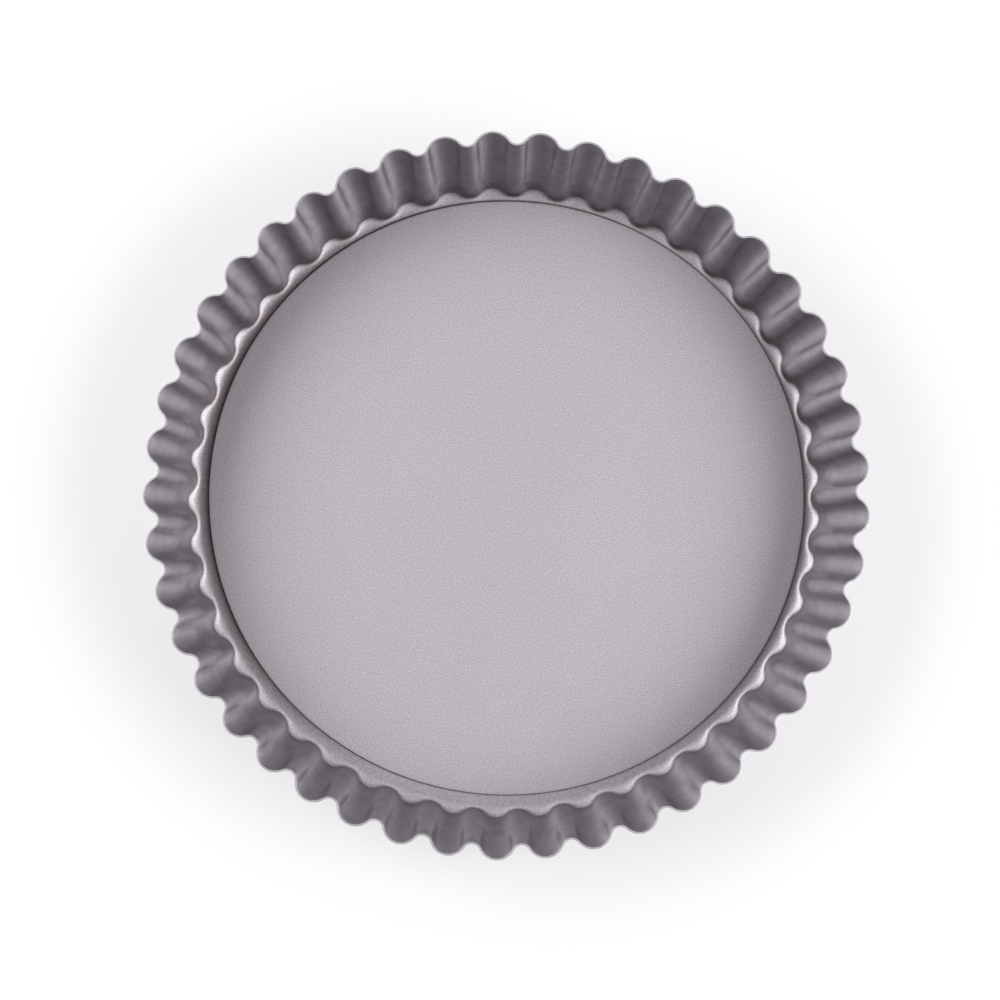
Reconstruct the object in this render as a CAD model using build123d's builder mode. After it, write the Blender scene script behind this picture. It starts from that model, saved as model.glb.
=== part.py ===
"""Fluted quiche dish with a loose base, in pressed steel sheet.

The dish is two pieces. The ring is one pressing: a fluted wall that leans outwards, a
ramp that rises into each flute at the wall's foot, and a flat ledge turned in all round.
The base is a plain round plate that lies loose on the ledge and is pushed up through the
ring to free what was baked. Z is up, the ring's axis is the Z axis and the underside of
its ledge stands at Z = 0.
"""

import os
from math import atan2, cos, pi, sin, tan

from build123d import *

# The ring: its height, the gauge of its sheet and the flutes' pitch round the rim
RING_HEIGHT = 35.0
RING_SHEET = 0.7
FLUTE_PITCH = 17.45

# The rim's outline on the outer skin, with its lobes' arc as a share of the pitch
RIM_CREST_RADIUS = 125.0
RIM_FLUTE_DEPTH = 4.7
RIM_LOBE_SHARE = 0.395

# The foot of the wall: its height, and how far in from the rim the wall has leant there
FOOT_HEIGHT = 2.0
WALL_RUN = 11.2
FOOT_FLUTE_DEPTH = 3.9
FOOT_LOBE_SHARE = 0.355

# The ramp from the foot down to the ledge, and the ledge's shallow fluted outline
RAMP_RUN = 3.5
LEDGE_FLUTE_DEPTH = 1.5
LEDGE_LOBE_SHARE = 0.69
LEDGE_WIDTH = 9.8

# The loose base: its gauge, its softened edges, and its play within the ledge's outline
BASE_SHEET = 0.8
BASE_EDGE_BREAK = 0.2
BASE_PLAY = 2.4
BASE_SHIFT_SHARE = 0.9
BASE_SHIFT_ANGLE = 68.0

# What follows from those sizes
FLUTE_COUNT = round(2 * pi * RIM_CREST_RADIUS / FLUTE_PITCH)
FOOT_CREST_RADIUS = RIM_CREST_RADIUS - WALL_RUN
LEDGE_CREST_RADIUS = FOOT_CREST_RADIUS - RAMP_RUN
LEDGE_VALLEY_RADIUS = LEDGE_CREST_RADIUS - LEDGE_FLUTE_DEPTH
WALL_SLOPE = atan2(RING_HEIGHT - FOOT_HEIGHT, WALL_RUN)
RAMP_SLOPE = atan2(FOOT_HEIGHT, RAMP_RUN)


def polar(radius, angle):
    """The point at a radius and an angle in radians about the ring's axis."""
    return (radius * cos(angle), radius * sin(angle))


def draw_flutes(crest_radius, flute_depth, lobe_radius):
    """Draw a closed outline of outward lobes and inward valleys, all arcs tangent.

    The lobe's arc is given, and the valley's arc is the one that touches both the lobes
    beside it and reaches in by the flutes' depth.
    """
    half_pitch = pi / FLUTE_COUNT
    lobe_centre = crest_radius - lobe_radius
    valley_radius = crest_radius - flute_depth
    across = lobe_centre * cos(half_pitch)
    chord_square = lobe_centre**2 + valley_radius**2 - 2 * valley_radius * across
    valley_arc = (chord_square - lobe_radius**2) / (2 * (lobe_radius - valley_radius + across))
    valley_centre = valley_radius + valley_arc
    lobe_share = lobe_radius / (lobe_radius + valley_arc)
    touch_x = lobe_centre + lobe_share * (valley_centre * cos(half_pitch) - lobe_centre)
    touch_y = lobe_share * valley_centre * sin(half_pitch)
    touch_radius = (touch_x**2 + touch_y**2) ** 0.5
    touch_angle = atan2(touch_y, touch_x)
    for flute in range(FLUTE_COUNT):
        crest = (2 * flute + 1) * half_pitch
        valley = crest + half_pitch
        lobe_start = polar(touch_radius, crest - touch_angle)
        lobe_end = polar(touch_radius, crest + touch_angle)
        next_start = polar(touch_radius, valley + half_pitch - touch_angle)
        ThreePointArc(lobe_start, polar(crest_radius, crest), lobe_end)
        ThreePointArc(lobe_end, polar(valley_radius, valley), next_start)


def pressed_form(inset):
    """The solid inside one skin of the ring, lofted from the ledge to the foot to the rim.

    An inset of nothing gives the outer skin, and the sheet's gauge gives the inner skin.
    Each bend of the inner skin lies where the sheets on both sides of it have that gauge.
    """
    ledge_shift = inset * tan(RAMP_SLOPE / 2)
    rim_shift = inset / sin(WALL_SLOPE)
    foot_rise = inset * cos((WALL_SLOPE + RAMP_SLOPE) / 2) / cos((WALL_SLOPE - RAMP_SLOPE) / 2)
    foot_shift = rim_shift - foot_rise / tan(WALL_SLOPE)
    levels = (
        (inset, LEDGE_CREST_RADIUS, LEDGE_FLUTE_DEPTH, LEDGE_LOBE_SHARE, ledge_shift),
        (FOOT_HEIGHT + foot_rise, FOOT_CREST_RADIUS, FOOT_FLUTE_DEPTH, FOOT_LOBE_SHARE, foot_shift),
        (RING_HEIGHT, RIM_CREST_RADIUS, RIM_FLUTE_DEPTH, RIM_LOBE_SHARE, rim_shift),
    )
    with BuildPart() as form:
        for height, crest_radius, flute_depth, lobe_share, shift in levels:
            with BuildSketch(Plane.XY.offset(height)):
                with BuildLine():
                    draw_flutes(
                        crest_radius - shift,
                        flute_depth,
                        lobe_share * FLUTE_PITCH - shift,
                    )
                make_face()
        loft(ruled=True)
    return form.part


os.makedirs("parts", exist_ok=True)

# The ring is the outer form less the inner one, with the ledge's hole punched through
outer_form = pressed_form(0)
inner_form = pressed_form(RING_SHEET)
with BuildPart() as fluted_ring:
    add(outer_form)
    add(inner_form, mode=Mode.SUBTRACT)
    with BuildSketch(Plane.XY):
        Circle(LEDGE_VALLEY_RADIUS - LEDGE_WIDTH)
    extrude(amount=RING_HEIGHT, mode=Mode.SUBTRACT)
fluted_ring.part.label = "fluted_ring"
export_step(fluted_ring.part, "parts/fluted_ring.step")

# The base lies on the ledge, pushed to one side of its play as the dish was set down
ledge_inside_radius = LEDGE_VALLEY_RADIUS - RING_SHEET * tan(RAMP_SLOPE / 2)
with BuildPart() as loose_base:
    with BuildSketch(Plane.XY.offset(RING_SHEET)):
        with PolarLocations(BASE_PLAY * BASE_SHIFT_SHARE, 1, start_angle=BASE_SHIFT_ANGLE):
            Circle(ledge_inside_radius - BASE_PLAY)
    extrude(amount=BASE_SHEET)
    chamfer(loose_base.edges().filter_by(GeomType.CIRCLE), BASE_EDGE_BREAK)
loose_base.part.label = "loose_base"
export_step(loose_base.part, "parts/loose_base.step")
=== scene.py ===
# %% [markdown]
# # A fluted quiche dish with a loose base
#
# The dish is two pieces of coated steel sheet. The ring is one pressing: a wall of 45
# flutes that leans outwards, a ramp that rises into each flute at the wall's foot, and a
# flat ledge turned in. The base is a round plate that lies loose on the ledge. The CAD
# solids have the true sizes but crisp bends. Both pieces are modelled again here with the
# rounded bends, the trimmed edges and the slight unevenness of real sheet.

from math import acos, atan2, cos, degrees, exp, pi, radians, sin, sqrt, tan

import bpy
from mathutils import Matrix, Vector


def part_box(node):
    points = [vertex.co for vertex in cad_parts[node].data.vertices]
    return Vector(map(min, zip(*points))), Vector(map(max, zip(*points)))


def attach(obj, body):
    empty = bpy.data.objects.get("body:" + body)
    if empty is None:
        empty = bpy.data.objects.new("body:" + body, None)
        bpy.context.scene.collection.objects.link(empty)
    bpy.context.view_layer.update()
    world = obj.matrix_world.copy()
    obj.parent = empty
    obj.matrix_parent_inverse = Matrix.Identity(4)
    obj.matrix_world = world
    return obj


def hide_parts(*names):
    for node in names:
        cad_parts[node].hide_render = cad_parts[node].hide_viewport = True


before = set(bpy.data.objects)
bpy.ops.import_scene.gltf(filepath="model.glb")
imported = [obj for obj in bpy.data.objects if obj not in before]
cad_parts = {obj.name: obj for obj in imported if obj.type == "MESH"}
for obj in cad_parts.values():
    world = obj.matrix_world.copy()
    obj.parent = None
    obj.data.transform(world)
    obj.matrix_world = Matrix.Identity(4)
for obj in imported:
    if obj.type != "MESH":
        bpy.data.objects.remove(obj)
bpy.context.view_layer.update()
MM = 0.001

# %% [markdown]
# ## Sizes that both pieces share
#
# The plate lies on the ledge, so the height of its underside is the gauge of the ring's
# sheet. The ring's height, the plate's radius and the plate's place are read from the
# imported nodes, so nothing has to be fitted by eye. The plate isn't fastened, and lies
# 0.4 mm nearer the front here than in the CAD, as in the photograph.

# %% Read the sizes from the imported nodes
ring_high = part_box("fluted_ring")[1]
plate_low, plate_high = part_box("loose_base")
RING_SHEET = plate_low.z
RING_HEIGHT = ring_high.z
PLATE_RADIUS = (plate_high.x - plate_low.x) / 2
PLATE_SLIP = Vector((0.12, -0.38, 0)) * MM
PLATE_CENTRE = (plate_low + plate_high) / 2 + PLATE_SLIP
FLUTE_COUNT = 45
HALF_PITCH = pi / FLUTE_COUNT
plate_shift = PLATE_CENTRE.xy.length
print(f"ring {RING_HEIGHT / MM:.1f} mm high in {RING_SHEET / MM:.1f} mm sheet")
print(f"plate {PLATE_RADIUS / MM:.1f} mm in radius, {plate_shift / MM:.1f} mm off centre")

# %% [markdown]
# ## The sheet's profile
#
# Cut from the side, the sheet is a flat ledge, then a wide bend, then a tight one at the
# foot, then a straight wall that leans outwards. The wide bend starts on one circle all
# round. The wall stands further out in a lobe than in a valley, so the wide bend has more
# room in a lobe, and a larger radius. The bends could be bevelled on a crisp corner, but
# one bevel has one radius, so the profile is worked out instead and drawn level by level.
# The inside shows, so these are sizes of the inner skin. The sheet's thickness is added
# on the outside later.

# %% Name the sizes of the inner skin
HAIR = 0.02 * MM
HOLE_RADIUS = 99 * MM
BEND_START = 108.1 * MM
CORNER_CREST = 111.85 * MM
CORNER_VALLEY = 109.56 * MM
FOOT_LOBE = 7.3 * MM
RIM_LEVEL = dict(height=RING_HEIGHT, crest=124.25 * MM, depth=4.7 * MM, lobe=6.15 * MM)
WIDE_BEND_TURN = radians(42)
FOOT_BEND = 1.2 * MM
BEND_STEPS = 6
WALL_RISE = RING_HEIGHT - RING_SHEET
print(f"the wall rises {WALL_RISE / MM:.1f} mm over the ledge")


# %% Work out the bend and the wall at one place round the ring
def measure_profile(corner, rim):
    """The wall's slope and the wide bend's radius, for the wall to meet the rim."""
    slope = atan2(WALL_RISE, rim - corner)
    wide_share = sin(WIDE_BEND_TURN) - (1 - cos(WIDE_BEND_TURN)) / tan(slope)
    foot_run = sin(slope) - sin(WIDE_BEND_TURN)
    foot_rise = cos(WIDE_BEND_TURN) - cos(slope)
    foot_share = foot_run - foot_rise / tan(slope)
    return slope, (corner - BEND_START - FOOT_BEND * foot_share) / wide_share


def profile_radius(corner, rim, rise):
    """The radius from the dish's axis at a rise over the ledge, on a bend or the wall."""
    slope, wide_bend = measure_profile(corner, rim)
    wide_end = wide_bend * (1 - cos(WIDE_BEND_TURN))
    foot_end = wide_end + FOOT_BEND * (cos(WIDE_BEND_TURN) - cos(slope))
    if rise > foot_end - HAIR / 4:
        return corner + rise / tan(slope)
    if rise > wide_end:
        turn = acos(cos(WIDE_BEND_TURN) - (rise - wide_end) / FOOT_BEND)
        foot_start = BEND_START + wide_bend * sin(WIDE_BEND_TURN)
        return foot_start + FOOT_BEND * (sin(turn) - sin(WIDE_BEND_TURN))
    return BEND_START + sqrt(2 * wide_bend * rise - rise**2)


lobe_slope, lobe_bend = measure_profile(CORNER_CREST, RIM_LEVEL["crest"])
valley_bend = measure_profile(CORNER_VALLEY, RIM_LEVEL["crest"] - RIM_LEVEL["depth"])[1]
print(f"the wall leans out by {90 - degrees(lobe_slope):.1f} degrees from upright")
print(f"wide bend {lobe_bend / MM:.1f} mm in a lobe, {valley_bend / MM:.1f} mm in a valley")

# %% [markdown]
# ## The flutes' outline at each level
#
# From above, a flute is a wide arc outwards between two tighter arcs inwards, and all
# touch smoothly. On the ledge there are no flutes yet, so the lobe's arc is nearly as
# wide as the dish, and it tightens with the flutes' depth as the bend rises.


# %% List the levels of the bend
def profile_level(rise):
    """The flutes' outline at a rise over the ledge, rounder the lower it lies."""
    crest = profile_radius(CORNER_CREST, RIM_LEVEL["crest"], rise)
    valley_rim = RIM_LEVEL["crest"] - RIM_LEVEL["depth"]
    depth = crest - profile_radius(CORNER_VALLEY, valley_rim, rise)
    foot_bulge = (1 / FOOT_LOBE - 1 / CORNER_CREST) / (CORNER_CREST - CORNER_VALLEY)
    lobe = 1 / (1 / crest + depth * foot_bulge)
    return dict(height=RING_SHEET + rise, crest=crest, depth=depth, lobe=lobe)


rises = []
for step in range(1, BEND_STEPS + 1):
    rises.append(lobe_bend * (1 - cos(WIDE_BEND_TURN * step / BEND_STEPS)))
for step in range(1, BEND_STEPS + 1):
    turn = WIDE_BEND_TURN + (lobe_slope - WIDE_BEND_TURN) * step / BEND_STEPS
    rises.append(rises[BEND_STEPS - 1] + FOOT_BEND * (cos(WIDE_BEND_TURN) - cos(turn)))
BEND_LEVELS = [profile_level(rise) for rise in rises]
FOOT_LEVEL = BEND_LEVELS[-1]
print(f"{len(BEND_LEVELS)} levels up to {FOOT_LEVEL['height'] / MM:.2f} mm at the foot")

# %% [markdown]
# ## Drawing an arc with Spin
#
# Spin turns a selected point about a centre and leaves a chain of edges behind it, which
# is an exact arc with as many steps as are asked for. A curve object could draw the same
# line, but then the levels would not have matching points, and matching points are what
# makes a clean bridge between them. Spin turns clockwise for a positive angle.

# %% Define the helpers that draw one flute's outline
VALLEY_STEPS = 5
LOBE_STEPS = 16
FLUTE_STEPS = 2 * VALLEY_STEPS + LOBE_STEPS
POINT_SIZE = 0.1 * MM


def polar(radius, angle, height):
    """The point at a radius and an angle about the dish's axis."""
    return (radius * cos(angle), radius * sin(angle), height)


def add_point(place):
    """Add one selected vertex, as a tiny plane merged at its centre."""
    bpy.ops.mesh.select_mode(type="VERT")
    bpy.ops.mesh.select_all(action="DESELECT")
    bpy.ops.mesh.primitive_plane_add(size=POINT_SIZE, location=place)
    bpy.ops.mesh.merge(type="CENTER")


def draw_flute(height, crest, depth, lobe):
    """Draw an outline from one valley over the crest to the next, as three tangent arcs."""
    lobe_place = crest - lobe
    valley = crest - depth
    across = lobe_place * cos(HALF_PITCH)
    chord_square = lobe_place**2 + valley**2 - 2 * valley * across
    valley_arc = (chord_square - lobe**2) / (2 * (lobe - valley + across))
    valley_place = valley + valley_arc
    lobe_centre = polar(lobe_place, HALF_PITCH, height)
    turn = atan2(lobe_centre[1], valley_place - lobe_centre[0])
    arcs = (
        (VALLEY_STEPS, turn, polar(valley_place, 0, height)),
        (LOBE_STEPS, -2 * (turn + HALF_PITCH), lobe_centre),
        (VALLEY_STEPS, turn, polar(valley_place, 2 * HALF_PITCH, height)),
    )
    add_point((valley, 0, height))
    for steps, angle, centre in arcs:
        bpy.ops.mesh.spin(steps=steps, angle=angle, center=centre, axis=(0, 0, 1))


def draw_arc_about_axis(height, radius):
    """Draw the stretch of a circle about the dish's axis that lies inside one flute."""
    add_point((radius, 0, height))
    bpy.ops.mesh.spin(
        steps=FLUTE_STEPS, angle=-2 * HALF_PITCH, center=(0, 0, height), axis=(0, 0, 1)
    )


print(f"{FLUTE_STEPS} steps a flute, {FLUTE_STEPS * FLUTE_COUNT} round the ring")

# %% [markdown]
# ## Selecting by place
#
# A mesh operator acts on what is selected, and by hand the levels would be picked with
# the mouse. In a script they are picked by where they are, which still works when a size
# changes.


# %% Define the helpers that select and start a piece
def start_piece(name, primitive, **settings):
    """Add a primitive with nothing else selected, name it, and open it for editing."""
    bpy.ops.object.select_all(action="DESELECT")
    primitive(**settings)
    piece = bpy.context.object
    piece.name = piece.data.name = name
    bpy.ops.object.transform_apply(location=True, rotation=True, scale=True)
    bpy.ops.object.mode_set(mode="EDIT")
    return piece


def select_where(piece, kind, test):
    """Select the vertices, edges or faces whose middle passes the test."""
    bpy.ops.mesh.select_mode(type=kind)
    bpy.ops.mesh.select_all(action="DESELECT")
    bpy.ops.object.mode_set(mode="OBJECT")
    mesh = piece.data
    if kind == "VERT":
        found = [(vertex, vertex.co) for vertex in mesh.vertices]
    elif kind == "FACE":
        found = [(face, face.center) for face in mesh.polygons]
    else:
        ends = [[mesh.vertices[i].co for i in edge.vertices] for edge in mesh.edges]
        found = [(edge, (a + b) / 2) for edge, (a, b) in zip(mesh.edges, ends)]
    for part, place in found:
        part.select = test(place)
    bpy.ops.object.mode_set(mode="EDIT")


def at_height(height):
    """A test for places at one height."""
    return lambda place: abs(place.z - height) < HAIR


def at_bend_start(place):
    """A test for the circle on which the ledge starts to turn up."""
    return at_height(RING_SHEET)(place) and place.xy.length > BEND_START - HAIR


print("selection helpers ready")

# %% [markdown]
# ## One flute of the ring
#
# The hole, the circle where the bend starts, the levels of the bend and the rim are drawn
# for one flute, and each pair of neighbours is bridged with faces. The wall gets extra
# cuts on the way up, so that it can be pressed a little unevenly later.

# %% Model one flute
WALL_CUTS = 5
ring = start_piece("ring_sheet", bpy.ops.mesh.primitive_plane_add, size=POINT_SIZE)
bpy.ops.mesh.delete(type="VERT")
draw_arc_about_axis(RING_SHEET, HOLE_RADIUS)
draw_arc_about_axis(RING_SHEET, BEND_START)
select_where(ring, "EDGE", at_height(RING_SHEET))
bpy.ops.mesh.bridge_edge_loops(number_cuts=1, interpolation="LINEAR")
last_test = at_bend_start
for level in BEND_LEVELS + [RIM_LEVEL]:
    draw_flute(**level)
    new_test = at_height(level["height"])
    select_where(ring, "EDGE", lambda place: last_test(place) or new_test(place))
    cuts = WALL_CUTS if level is RIM_LEVEL else 0
    bpy.ops.mesh.bridge_edge_loops(number_cuts=cuts, interpolation="LINEAR")
    last_test = new_test
bpy.ops.mesh.select_all(action="SELECT")
ring.update_from_editmode()
print(f"one flute has {len(ring.data.polygons)} faces")

# %% [markdown]
# ## All the flutes
#
# The flutes are all alike, so one is modelled and Spin copies it round the axis. Where
# two copies meet, their points lie on each other and are merged. Spin can leave the faces
# inside out, so their direction is worked out again before the sheet gets its thickness.

# %% Spin copies of the flute all the way round
bpy.ops.mesh.spin(
    steps=FLUTE_COUNT - 1,
    dupli=True,
    angle=-2 * HALF_PITCH * (FLUTE_COUNT - 1),
    center=(0, 0, 0),
    axis=(0, 0, 1),
)
bpy.ops.mesh.select_all(action="SELECT")
bpy.ops.mesh.remove_doubles(threshold=HAIR / 4)
bpy.ops.mesh.normals_make_consistent(inside=False)
ring.update_from_editmode()
ledge_faces = [face for face in ring.data.polygons if face.center.z < RING_SHEET + HAIR]
if ledge_faces[0].normal.z < 0:
    bpy.ops.mesh.flip_normals()
ring.update_from_editmode()
open_ends = [edge for edge in ring.data.edges if edge.is_loose]
print(f"the ring has {len(ring.data.polygons)} faces, {len(open_ends)} loose edges")

# %% [markdown]
# ## The wall isn't perfectly round
#
# Thin sheet springs back a little after the press, and a rim with no wire in it is easily
# pushed. On this dish the rim is a hair smaller than its largest size except at the back,
# where it bulges out, it is slightly oval, it stands a little to one side of the foot, and
# its flutes are a little deeper in front than at the back. Each point moves only along
# its own radius, and by more the higher it lies, so the foot stays round and the plate
# still fits.

# %% Say how far the rim is pushed
RIM_SPRING = -1.24 * MM
RIM_OVAL = 0.32 * MM
OVAL_ANGLE = radians(17)
RIM_LEAN = 0.41 * MM
LEAN_ANGLE = radians(-45)
BULGE = 1.98 * MM
BULGE_ANGLE = radians(95)
BULGE_WIDTH = radians(35)
FLUTE_EASE = 0.36 * MM
EASE_ANGLE = radians(71)


def rim_push(angle):
    """How far the rim is moved outwards at an angle about the dish's axis."""
    away = atan2(sin(angle - BULGE_ANGLE), cos(angle - BULGE_ANGLE)) / BULGE_WIDTH
    oval = RIM_OVAL * cos(2 * (angle - OVAL_ANGLE))
    lean = RIM_LEAN * cos(angle - LEAN_ANGLE)
    return RIM_SPRING + oval + lean + BULGE * exp(-away * away)


print(f"the rim moves by {rim_push(BULGE_ANGLE) / MM:.2f} mm at its bulge")

# %% Push the wall a little out of round
bpy.ops.object.mode_set(mode="OBJECT")
wall_height = RING_HEIGHT - FOOT_LEVEL["height"]
largest_push = 0
for vertex in ring.data.vertices:
    rise = max(0, vertex.co.z - FOOT_LEVEL["height"]) / wall_height
    angle = atan2(vertex.co.y, vertex.co.x)
    crest = FOOT_LEVEL["crest"] + rise * (RIM_LEVEL["crest"] - FOOT_LEVEL["crest"])
    depth = FOOT_LEVEL["depth"] + rise * (RIM_LEVEL["depth"] - FOOT_LEVEL["depth"])
    inwards = (crest - vertex.co.xy.length) / depth
    push = rim_push(angle) + inwards * FLUTE_EASE * cos(angle - EASE_ANGLE)
    vertex.co.xy += vertex.co.xy.normalized() * push * rise
    largest_push = max(largest_push, abs(push * rise))
bpy.ops.object.mode_set(mode="EDIT")
print(f"wall moved by up to {largest_push / MM:.2f} mm")

# %% [markdown]
# ## Thickness and trimmed edges
#
# Solidify grows the sheet outwards from the inner skin. It leaves the rim's outer edge a
# little low, because the wall leans, so the rim is scaled flat in Z, as the real one is
# trimmed. The trimmed edges then lose their sharpness with a small bevel.

# %% Give the sheet its thickness
EDGE_BREAK = 0.12 * MM
EDGE_STEPS = 2
SHARP_FROM = radians(50)
OUTWARDS = -1
bpy.ops.object.mode_set(mode="OBJECT")
thickness = ring.modifiers.new("sheet", "SOLIDIFY")
thickness.thickness = RING_SHEET
thickness.offset = OUTWARDS
thickness.use_even_offset = True
bpy.ops.object.modifier_apply(modifier=thickness.name)
bpy.ops.object.mode_set(mode="EDIT")
select_where(ring, "VERT", lambda place: place.z > RING_HEIGHT - RING_SHEET / 2)
bpy.ops.transform.resize(value=(1, 1, 0), center_override=(0, 0, RING_HEIGHT))
bpy.ops.mesh.select_mode(type="EDGE")
bpy.ops.mesh.select_all(action="DESELECT")
bpy.ops.mesh.edges_select_sharp(sharpness=SHARP_FROM)
bpy.ops.mesh.bevel(offset=EDGE_BREAK, segments=EDGE_STEPS, affect="EDGES")
bpy.ops.object.mode_set(mode="OBJECT")
bpy.ops.object.shade_smooth_by_angle(angle=SHARP_FROM)
print(f"the finished ring has {len(ring.data.polygons)} faces")

# %% [markdown]
# ## The loose plate
#
# The plate is a plain disc, so it starts as a cylinder of its size. Its two edges are
# rounded as a punched blank's are, and the rounding shows as a fine light line round the
# plate. Inset rings keep the faces near the edge small, so the shading stays even.

# %% Model the plate
PLATE_STEPS = 360
PLATE_EDGE_BREAK = 0.14 * MM
PLATE_EDGE_STEPS = 4
PLATE_INSETS = (1 * MM, 12 * MM, 30 * MM)


def in_middle(height):
    """A test for the face in the middle of the plate at one height."""
    level = at_height(height)
    return lambda place: level(place) and (place - PLATE_CENTRE).xy.length < HAIR


plate = start_piece(
    "plate_sheet",
    bpy.ops.mesh.primitive_cylinder_add,
    vertices=PLATE_STEPS,
    radius=PLATE_RADIUS,
    depth=plate_high.z - plate_low.z,
    location=PLATE_CENTRE,
)
bpy.ops.mesh.select_all(action="DESELECT")
bpy.ops.mesh.edges_select_sharp(sharpness=SHARP_FROM)
bpy.ops.mesh.bevel(offset=PLATE_EDGE_BREAK, segments=PLATE_EDGE_STEPS, affect="EDGES")
for face_height in (plate_low.z, plate_high.z):
    for inset in PLATE_INSETS:
        select_where(plate, "FACE", in_middle(face_height))
        bpy.ops.mesh.inset(thickness=inset)
bpy.ops.object.mode_set(mode="OBJECT")
bpy.ops.object.shade_smooth_by_angle(angle=SHARP_FROM)
print(f"the plate has {len(plate.data.polygons)} faces")

# %% [markdown]
# ## Small helpers for materials
#
# A material is a tree of nodes. In the editor each node would be added and joined with
# the mouse. Here a few helpers add one node each and return what it gives, so that a
# finish can be written down like a sum. The textures read Object coordinates, which are
# metres on the piece, so every pattern has its real size and moves with the piece.

# %% Define the helpers that add one node
NOISE_LOW, NOISE_HIGH = 0.3, 0.7


def add_noise(tree, coordinates, feature, detail):
    """A noise texture whose features are about as large as the given size."""
    noise = tree.nodes.new("ShaderNodeTexNoise")
    noise.inputs["Scale"].default_value = 1 / feature
    noise.inputs["Detail"].default_value = detail
    tree.links.new(coordinates.outputs["Object"], noise.inputs["Vector"])
    return noise


def map_range(tree, source, low, high, to_low, to_high):
    """Spread the values between low and high over a new range, and stop at its ends."""
    node = tree.nodes.new("ShaderNodeMapRange")
    node.inputs["From Min"].default_value = low
    node.inputs["From Max"].default_value = high
    node.inputs["To Min"].default_value = to_low
    node.inputs["To Max"].default_value = to_high
    tree.links.new(source, node.inputs["Value"])
    return node.outputs["Result"]


def swing(tree, noise, reach=1):
    """A noise's values spread from minus to plus the given reach."""
    return map_range(tree, noise.outputs["Fac"], NOISE_LOW, NOISE_HIGH, -reach, reach)


def combine(tree, operation, first, second=None):
    """A number worked out from one or two others."""
    node = tree.nodes.new("ShaderNodeMath")
    node.operation = operation
    tree.links.new(first, node.inputs[0])
    if second is not None:
        tree.links.new(second, node.inputs[1])
    return node.outputs["Value"]


def split_axes(tree, vector):
    """A node that gives a vector's X, Y and Z."""
    node = tree.nodes.new("ShaderNodeSeparateXYZ")
    tree.links.new(vector, node.inputs["Vector"])
    return node


def measure_length(tree, vector):
    """The length of a vector."""
    node = tree.nodes.new("ShaderNodeVectorMath")
    node.operation = "LENGTH"
    tree.links.new(vector, node.inputs[0])
    return node.outputs["Value"]


print("node helpers ready")


# %% Define the helpers that mix colours and raise a bump
def mix_colours(tree, factor, low, high):
    """A colour between two others, each a constant or the output of a node."""
    node = tree.nodes.new("ShaderNodeMix")
    node.data_type = "RGBA"
    for name, colour in (("A", low), ("B", high)):
        if isinstance(colour, tuple):
            node.inputs[name].default_value = (*colour, 1)
        else:
            tree.links.new(colour, node.inputs[name])
    tree.links.new(factor, node.inputs["Factor"])
    return node.outputs["Result"]


def add_bump(tree, noise, depth):
    """A bump whose height is the given depth."""
    bump = tree.nodes.new("ShaderNodeBump")
    bump.inputs["Strength"].default_value = 1
    bump.inputs["Distance"].default_value = depth
    tree.links.new(noise.outputs["Fac"], bump.inputs["Height"])
    return bump


print("colour and bump helpers ready")

# %% [markdown]
# ## Painted shadow beside the plate, and the bare rim
#
# A dark brown colour on the ledge beside the plate is painted shadow: the shade of the
# plate's edge in the crevice beside it. It is a thin dark line all round the plate, which
# fades out a little way under the plate, and it spreads over the ledge at the left and,
# less, at the right. It is painted by the distance from its own centre, which lies a little
# to the left and the back of the plate's. The rim was trimmed through the coating, so its
# top is bare, paler metal.

# %% Define the ring's painted shadow and bare rim
# Painted shadow: a dark brown colour on the ledge where the plate's edge and the crevice
# shade it.
PAINTED_SHADOW_COLOUR = (0.136, 0.087, 0.095)
SHADOW_CENTRE = PLATE_CENTRE + Vector((-0.3, 0.25, 0)) * MM
SHADOW_WIDTH = 4.1 * MM
SHADOW_AT_LEFT = (-0.9 * PLATE_RADIUS, -0.4 * PLATE_RADIUS)
SHADOW_AT_RIGHT = (0.6 * PLATE_RADIUS, PLATE_RADIUS)
RIGHT_SHADOW_SHARE = 0.75
CREVICE_SHARE = 0.95
CREVICE_START = 0.2 * MM
CREVICE_END = 0.85 * MM
# The painted shadow fades out a little way under the plate's edge.
SHADOW_FADE_START = 4 * MM
SHADOW_FADE_END = 1 * MM
BARE_COLOUR = (0.49, 0.48, 0.49)
TRIM_DEPTH = 0.03 * MM
IN_PLAN = (1, 1, 0)


def painted_shadow_share(tree, coordinates):
    """How much painted shadow there is: a thin line round the plate, and more at its sides.
    """
    offset = tree.nodes.new("ShaderNodeVectorMath")
    offset.operation = "MULTIPLY_ADD"
    offset.inputs[1].default_value = IN_PLAN
    offset.inputs[2].default_value = (-SHADOW_CENTRE.x, -SHADOW_CENTRE.y, 0)
    tree.links.new(coordinates.outputs["Object"], offset.inputs[0])
    distance = measure_length(tree, offset.outputs["Vector"])
    crevice_start, crevice_end = PLATE_RADIUS + CREVICE_START, PLATE_RADIUS + CREVICE_END
    line = map_range(tree, distance, crevice_start, crevice_end, CREVICE_SHARE, 0)
    near = map_range(tree, distance, PLATE_RADIUS, PLATE_RADIUS + SHADOW_WIDTH, 1, 0)
    across = split_axes(tree, offset.outputs["Vector"]).outputs["X"]
    left = map_range(tree, across, *SHADOW_AT_LEFT, 1, 0)
    right = map_range(tree, across, *SHADOW_AT_RIGHT, 0, RIGHT_SHADOW_SHARE)
    aside = combine(tree, "MAXIMUM", left, right)
    beside = combine(tree, "MAXIMUM", line, combine(tree, "MULTIPLY", near, aside))
    fade_start, fade_end = PLATE_RADIUS - SHADOW_FADE_START, PLATE_RADIUS - SHADOW_FADE_END
    fade_in = map_range(tree, distance, fade_start, fade_end, 0, 1)
    return combine(tree, "MULTIPLY", beside, fade_in)


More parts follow.
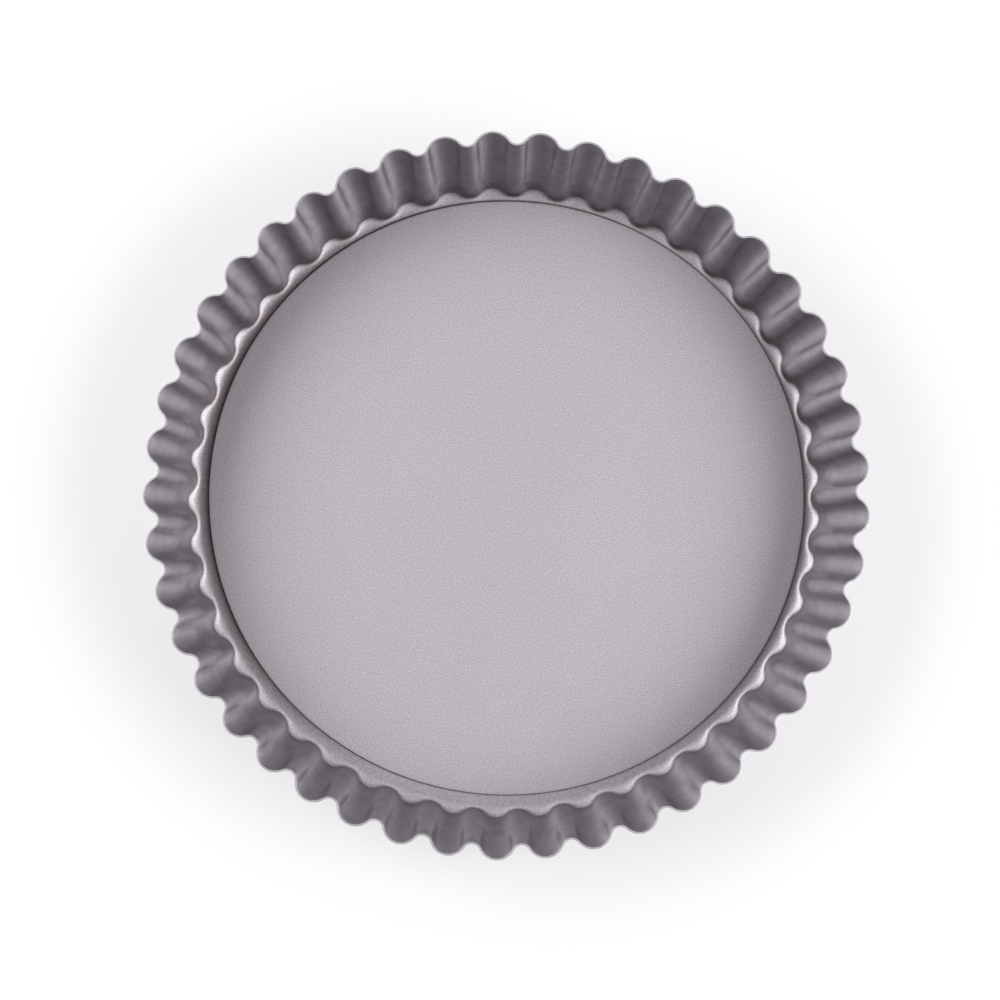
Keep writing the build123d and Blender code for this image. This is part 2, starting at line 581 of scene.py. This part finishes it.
def add_shadow_and_bare_rim(tree, coordinates, colour):
    """The painted shadow beside the plate and the bare metal of the trimmed rim, over a
    colour.
    """
    # Painted shadow: the dark brown colour is mixed in beside the plate.
    colour = mix_colours(tree, painted_shadow_share(tree, coordinates), colour, PAINTED_SHADOW_COLOUR)
    height = split_axes(tree, coordinates.outputs["Object"]).outputs["Z"]
    trimmed = map_range(tree, height, RING_HEIGHT - TRIM_DEPTH, RING_HEIGHT, 0, 1)
    return mix_colours(tree, trimmed, colour, BARE_COLOUR)


# The width printed here is the painted shadow's.
print(f"film up to {SHADOW_WIDTH / MM:.1f} mm wide beside the plate")

# %% [markdown]
# ## The coating's grain
#
# Both pieces have a grey non-stick coating with fine metal flakes that lie flat in it.
# The flakes make a sandy grain on the flat parts. The steep wall shows less of it, but it
# is rubbed a little from use and holds a few pale specks of dust. Each is a noise of its
# own size, and together they make the colour lighter or darker.

# %% Define the grain
FLAKE_SIZE = 0.5 * MM
FLAKE_DETAIL = 2
FLAKE_SPREAD = 0.21
STEEP_FLAKE_SPREAD = 0.07
RUB_SIZE = 5 * MM
RUB_DETAIL = 4
RUB_SPREAD = 0.13
DUST_SIZE = 0.9 * MM
DUST_GAIN = 0.5
DUST_LOW, DUST_HIGH = 0.78, 0.84


def grain_brightness(tree, coordinates, flakes, flatness):
    """How much lighter or darker than its colour the coating is at each point."""
    flake_spread = map_range(tree, flatness, 0, 1, STEEP_FLAKE_SPREAD, FLAKE_SPREAD)
    sandy = combine(tree, "MULTIPLY", swing(tree, flakes), flake_spread)
    rubs = add_noise(tree, coordinates, RUB_SIZE, RUB_DETAIL)
    rub_spread = map_range(tree, flatness, 0, 1, RUB_SPREAD, 0)
    rubbed = combine(tree, "MULTIPLY", swing(tree, rubs), rub_spread)
    dust = add_noise(tree, coordinates, DUST_SIZE, 0).outputs["Fac"]
    dust_gain = map_range(tree, flatness, 0, 1, DUST_GAIN, 0)
    specks = map_range(tree, dust, DUST_LOW, DUST_HIGH, 0, 1)
    dusty = combine(tree, "MULTIPLY", specks, dust_gain)
    total = combine(tree, "ADD", combine(tree, "ADD", sandy, dusty), rubbed)
    return map_range(tree, total, -1, 1, 0, 2)


print(f"flakes of {FLAKE_SIZE / MM:.1f} mm, rub marks of {RUB_SIZE / MM:.0f} mm")

# %% [markdown]
# ## The coating
#
# Flat parts look silvery and the steep wall looks darker, because flakes seen edge on
# send little light back. A real flake coat turns dark with the angle of view. Here that
# darkening is painted shade: the colour is mixed by how steeply the surface stands, darker
# where steep, which looks the same from above and stays put when the dish is seen from
# elsewhere. The same mix makes the flat parts rougher. A thin clear coat over the flakes
# gives the streaks that the wall mirrors, and two bumps make the surface uneven: a wide
# one, as a sprayed coat is, and a fine one.

# %% Define the coating's material
STEEP_FROM, FLAT_FROM = 0.35, 0.85
STEEP_ROUGHNESS = 0.42
FLAT_ROUGHNESS = 0.60
COAT_WEIGHT = 0.5
COAT_ROUGHNESS = 0.14
CLOUD_SIZE = 22 * MM
CLOUD_DETAIL = 3
CLOUD_SPREAD = 0.008
PEEL_SIZE = 2.5 * MM
PEEL_DETAIL = 2
PEEL_DEPTH = 0.012 * MM
FLAKE_DEPTH = 0.014 * MM


def make_coating(name, steep_shade_colour, flat_colour, add_shadow_and_wear=None):
    """A flake coating: darker where steep as painted shade, and grainy, with painted shadow
    and wear added if there are any.
    """
    material = bpy.data.materials.new(name)
    material.use_nodes = True
    tree = material.node_tree
    shader = tree.nodes["Principled BSDF"]
    shader.inputs["Metallic"].default_value = 1
    shader.inputs["Coat Weight"].default_value = COAT_WEIGHT
    shader.inputs["Coat Roughness"].default_value = COAT_ROUGHNESS

    coordinates = tree.nodes.new("ShaderNodeTexCoord")
    normal = split_axes(tree, coordinates.outputs["Normal"])
    upright = combine(tree, "ABSOLUTE", normal.outputs["Z"])
    flatness = map_range(tree, upright, STEEP_FROM, FLAT_FROM, 0, 1)
    # Painted shade: the colour turns darker where the surface stands steep.
    colour = mix_colours(tree, flatness, steep_shade_colour, flat_colour)
    # On the ring, the painted shadow beside the plate and the bare rim go over the colour.
    if add_shadow_and_wear:
        colour = add_shadow_and_wear(tree, coordinates, colour)

    flakes = add_noise(tree, coordinates, FLAKE_SIZE, FLAKE_DETAIL)
    brightness = grain_brightness(tree, coordinates, flakes, flatness)
    grainy = tree.nodes.new("ShaderNodeVectorMath")
    grainy.operation = "SCALE"
    tree.links.new(colour, grainy.inputs["Vector"])
    tree.links.new(brightness, grainy.inputs["Scale"])
    tree.links.new(grainy.outputs["Vector"], shader.inputs["Base Color"])

    clouds = swing(tree, add_noise(tree, coordinates, CLOUD_SIZE, CLOUD_DETAIL), CLOUD_SPREAD)
    satin = map_range(tree, flatness, 0, 1, STEEP_ROUGHNESS, FLAT_ROUGHNESS)
    tree.links.new(combine(tree, "ADD", clouds, satin), shader.inputs["Roughness"])

    peel = add_bump(tree, add_noise(tree, coordinates, PEEL_SIZE, PEEL_DETAIL), PEEL_DEPTH)
    grit = add_bump(tree, flakes, FLAKE_DEPTH)
    tree.links.new(peel.outputs["Normal"], grit.inputs["Normal"])
    tree.links.new(grit.outputs["Normal"], shader.inputs["Normal"])
    return material


print(f"coating darker from {degrees(acos(FLAT_FROM)):.0f} degrees of slope")

# %% Coat the ring and the plate
# The ring's colours are darker than the plate's, though both carry the same coating: the
# difference is painted shade.
RING_STEEP_SHADE = (0.284, 0.269, 0.287)
RING_FLAT = (0.470, 0.452, 0.475)
PLATE_STEEP_SHADE = (0.40, 0.385, 0.405)
PLATE_FLAT = (0.530, 0.510, 0.536)
ring_coating = make_coating("ring_coating", RING_STEEP_SHADE, RING_FLAT, add_shadow_and_bare_rim)
plate_coating = make_coating("base_coating", PLATE_STEEP_SHADE, PLATE_FLAT)
ring.data.materials.append(ring_coating)
plate.data.materials.append(plate_coating)
print("coatings:", ring_coating.name, plate_coating.name)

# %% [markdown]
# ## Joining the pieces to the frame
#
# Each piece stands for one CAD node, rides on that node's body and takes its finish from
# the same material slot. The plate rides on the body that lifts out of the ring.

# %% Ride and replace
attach(ring, "ring")
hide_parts("fluted_ring")
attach(plate, "base")
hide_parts("loose_base")
print("the ring and the plate ride on their bodies")

# %% [markdown]
# ## The table
#
# The dish stands on a white table that fades to plain white. The white comes from the
# table's own colour and a glow that only the camera, reflections and clear things see, so
# no extra light falls on the dish. The glow is weaker round the dish, so the dish's soft
# shadow stays.

# %% Make the table
TABLE_SIZE = 12.0
TABLE_DROP = 0.05 * MM
table = start_piece(
    "table", bpy.ops.mesh.primitive_plane_add, size=TABLE_SIZE, location=(0, 0, -TABLE_DROP)
)
bpy.ops.object.mode_set(mode="OBJECT")
print("table of", TABLE_SIZE, "m")

# %% Make it white
TABLE_COLOUR = (0.385, 0.383, 0.395)
TABLE_ROUGHNESS = 0.8
TABLE_GLOW = 0.49
FAR_GLOW = 1.0
GLOW_FROM, GLOW_TO = 0.16, 1.2
white = bpy.data.materials.new("white_table")
white.use_nodes = True
tree = white.node_tree
surface = tree.nodes["Principled BSDF"]
surface.inputs["Base Color"].default_value = (*TABLE_COLOUR, 1)
surface.inputs["Roughness"].default_value = TABLE_ROUGHNESS
path = tree.nodes.new("ShaderNodeLightPath")
seen = combine(tree, "MAXIMUM", path.outputs["Is Camera Ray"], path.outputs["Is Glossy Ray"])
seen = combine(tree, "MAXIMUM", seen, path.outputs["Is Transmission Ray"])
places = tree.nodes.new("ShaderNodeTexCoord")
distance = measure_length(tree, places.outputs["Object"])
glow_here = map_range(tree, distance, GLOW_FROM, GLOW_TO, TABLE_GLOW, FAR_GLOW)
glow = tree.nodes.new("ShaderNodeEmission")
tree.links.new(combine(tree, "MULTIPLY", seen, glow_here), glow.inputs["Strength"])
both = tree.nodes.new("ShaderNodeAddShader")
tree.links.new(surface.outputs["BSDF"], both.inputs[0])
tree.links.new(glow.outputs["Emission"], both.inputs[1])
tree.links.new(both.outputs["Shader"], tree.nodes["Material Output"].inputs["Surface"])
table.data.materials.append(white)
print(f"the table glows from {TABLE_GLOW} near the dish to {FAR_GLOW} far away")

# %% [markdown]
# ## The light
#
# A dim room with a bright back and two large soft boxes, one at each side, light the
# dish. The room could be built from walls, but a sky whose brightness depends on the
# direction does the same with no extra pieces in the scene. The boxes show in the bends
# as bright crescents on the left and the right of the ring. The camera itself sees the
# room as plain white.

# %% Set the room
ROOM_STOPS = (
    (0.0, (0.012, 0.0117, 0.0122)),
    (0.40, (0.02, 0.0195, 0.0203)),
    (0.48, (0.25, 0.244, 0.253)),
    (0.72, (0.25, 0.244, 0.253)),
    (0.80, (0.10, 0.0975, 0.101)),
    (0.93, (0.08, 0.078, 0.081)),
    (1.0, (0.02, 0.0195, 0.0203)),
)
ROOM_FRONT = 0.48
ROOM_BACK = 5.2
world = bpy.data.worlds.new("room")
bpy.context.scene.world = world
world.use_nodes = True
tree = world.node_tree
room = tree.nodes["Background"]
direction = tree.nodes.new("ShaderNodeTexCoord")
axes = split_axes(tree, direction.outputs["Generated"])
ramp = tree.nodes.new("ShaderNodeValToRGB")
ramp.color_ramp.elements.remove(ramp.color_ramp.elements[1])
for number, (place, colour) in enumerate(ROOM_STOPS):
    stop = ramp.color_ramp.elements[0] if number == 0 else ramp.color_ramp.elements.new(place)
    stop.position = place
    stop.color = (*colour, 1)
tree.links.new(axes.outputs["Z"], ramp.inputs["Fac"])
tree.links.new(ramp.outputs["Color"], room.inputs["Color"])
depth = map_range(tree, axes.outputs["Y"], -1, 1, ROOM_FRONT, ROOM_BACK)
tree.links.new(depth, room.inputs["Strength"])
print(f"the room's back is {ROOM_BACK / ROOM_FRONT:.0f} times as bright as its front")

# %% Show the camera a white room
backdrop = tree.nodes.new("ShaderNodeBackground")
backdrop.inputs["Color"].default_value = (1, 1, 1, 1)
path = tree.nodes.new("ShaderNodeLightPath")
choice = tree.nodes.new("ShaderNodeMixShader")
tree.links.new(path.outputs["Is Camera Ray"], choice.inputs["Fac"])
tree.links.new(room.outputs["Background"], choice.inputs[1])
tree.links.new(backdrop.outputs["Background"], choice.inputs[2])
tree.links.new(choice.outputs["Shader"], tree.nodes["World Output"].inputs["Surface"])
print("the camera sees a white room")

# %% Hang the soft boxes
BOX_DISTANCE = 1.0
BOX_HEIGHT = 0.78
BOX_TURN = radians(-15)
BOX_WIDTH = 1.1
BOX_DEPTH = 0.75
BOX_POWERS = {-1: 14.6, 1: 16.2}
BOX_COLOURS = {-1: (1, 1, 1), 1: (1, 0.972, 0.984)}
for side in (-1, 1):
    lamp = bpy.data.lights.new("soft_box", "AREA")
    lamp.shape = "RECTANGLE"
    lamp.size = BOX_DEPTH
    lamp.size_y = BOX_WIDTH
    lamp.energy = BOX_POWERS[side]
    lamp.color = BOX_COLOURS[side]
    soft_box = bpy.data.objects.new("soft_box", lamp)
    bpy.context.scene.collection.objects.link(soft_box)
    soft_box.location = polar(side * BOX_DISTANCE, BOX_TURN, BOX_HEIGHT)
    soft_box.rotation_euler = (0, side * atan2(BOX_DISTANCE, BOX_HEIGHT), BOX_TURN)
print("soft boxes of", *BOX_POWERS.values(), "W")

# %% [markdown]
# ## The camera
#
# The photograph looks almost straight down. The tilt was worked out from how far the
# rim's circle lies from the foot's circle, and the distance from how much larger it looks.

# %% Set the camera
CAMERA_PLACE = (-16.31 * MM, -45.77 * MM, 700 * MM)
CAMERA_TILT = (radians(3.750), radians(-1.175), radians(-0.364))
SENSOR_WIDTH = 36
LENS_LENGTH = 70.5816
camera_data = bpy.data.cameras.new("camera")
camera_data.sensor_width = SENSOR_WIDTH
camera_data.lens = LENS_LENGTH
camera = bpy.data.objects.new("camera", camera_data)
bpy.context.scene.collection.objects.link(camera)
camera.location = CAMERA_PLACE
camera.rotation_euler = CAMERA_TILT
bpy.context.scene.camera = camera
bpy.context.scene.view_settings.view_transform = "Standard"
print(f"camera {CAMERA_PLACE[2] / MM:.0f} mm above the table")
